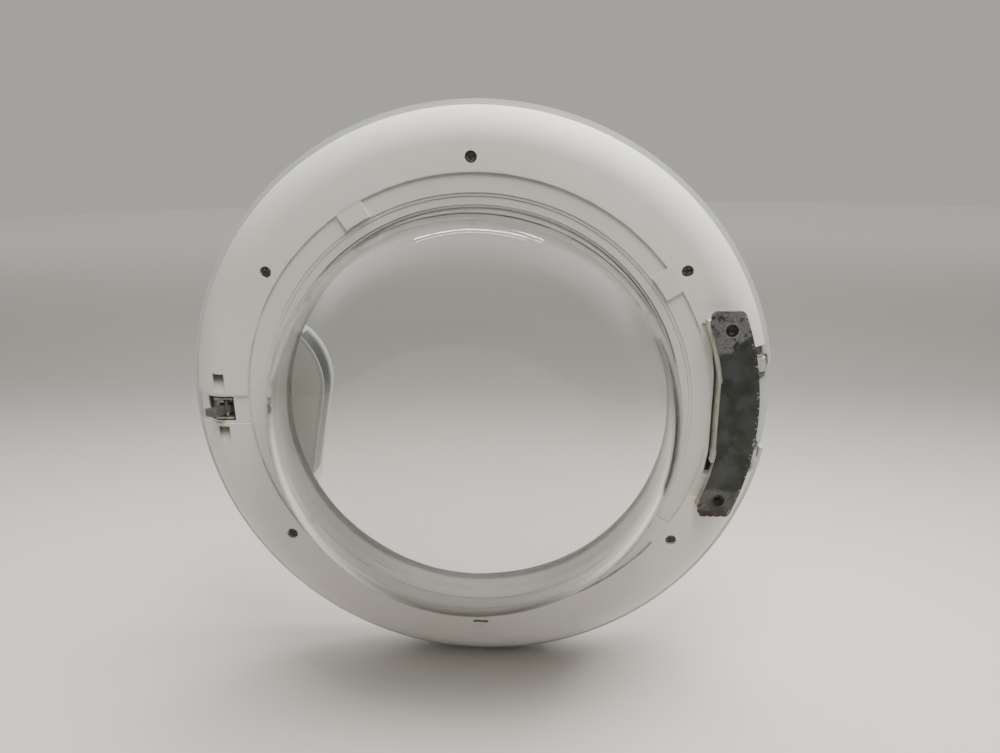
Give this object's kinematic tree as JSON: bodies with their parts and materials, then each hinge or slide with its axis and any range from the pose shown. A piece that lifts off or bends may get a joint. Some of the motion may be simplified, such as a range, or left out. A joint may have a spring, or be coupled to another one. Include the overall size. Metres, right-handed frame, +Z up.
{
  "type": "washing machine door",
  "caption": "Round front-loading washing machine door with a clear glass bowl, moulded frames, a finger grip, a sprung latch hook and a worn steel hinge plate it swings on",
  "frame": {"origin": "The middle of the door's overall size, on the porthole axis, with the door closed and upright as it hangs on the machine", "axes": "+Z is up. +Y points into the machine, the way the glass bowl bulges, and the door's front faces -Y. The hinge is at -X, the latch hook and the finger grip at +X"},
  "size_m": [0.4699, 0.1591, 0.47],
  "materials": {
    "white_plastic": "satin moulded white plastic, slightly yellowed",
    "rim_plastic": "smooth moulded pale blue-grey plastic",
    "cup_plastic": "fine-grained moulded plastic",
    "clear_glass": "clear pressed glass",
    "worn_steel": "dark worn galvanised sheet with scratches and rust at one end",
    "plated_steel": "dull zinc plated steel",
    "screw_steel": "darkened plated screw",
    "spring_steel": "hard drawn spring steel",
    "zinc_casting": "matt die-cast zinc",
    "spacer_plastic": "dull greenish white moulded plastic, stained",
    "bush_plastic": "natural white bearing plastic"
  },
  "bodies": {
    "leaf": {"hinge_plate": "worn_steel", "hinge_spacer": "spacer_plastic", "hinge_pin": "plated_steel", "retaining_clip": "spring_steel"},
    "door": {"front_frame": "rim_plastic", "inner_frame": "white_plastic", "glass_bowl": "clear_glass", "grip_cup": "cup_plastic", "hinge_bracket": "zinc_casting", "hinge_bush_upper": "bush_plastic", "hinge_bush_lower": "bush_plastic", "latch_bracket": "plated_steel", "latch_pin": "plated_steel", "latch_spring": "spring_steel", "frame_screw_1": "screw_steel", "frame_screw_2": "screw_steel", "frame_screw_3": "screw_steel", "frame_screw_4": "screw_steel", "frame_screw_5": "screw_steel", "latch_screw_1": "screw_steel", "latch_screw_2": "screw_steel", "bracket_screw_1": "screw_steel", "bracket_screw_2": "screw_steel", "bracket_screw_3": "screw_steel", "bracket_screw_4": "screw_steel"},
    "hook": {"latch_hook": "zinc_casting"}
  },
  "joints": [
    {"name": "door_swing", "type": "hinge", "parent": "leaf", "child": "door", "pos_m": [-0.219, -0.0405, 0], "axis": [0, 0, -1], "range_deg": [0, 120]},
    {"name": "hook_turn", "type": "hinge", "parent": "door", "child": "hook", "pos_m": [0.2045, -0.0325, 0], "axis": [0, 0, 1], "range_deg": [0, 14], "stiffness_Nm_per_rad": 0.05, "springref_deg": -11.46, "deforming": ["latch_spring"]}
  ]
}
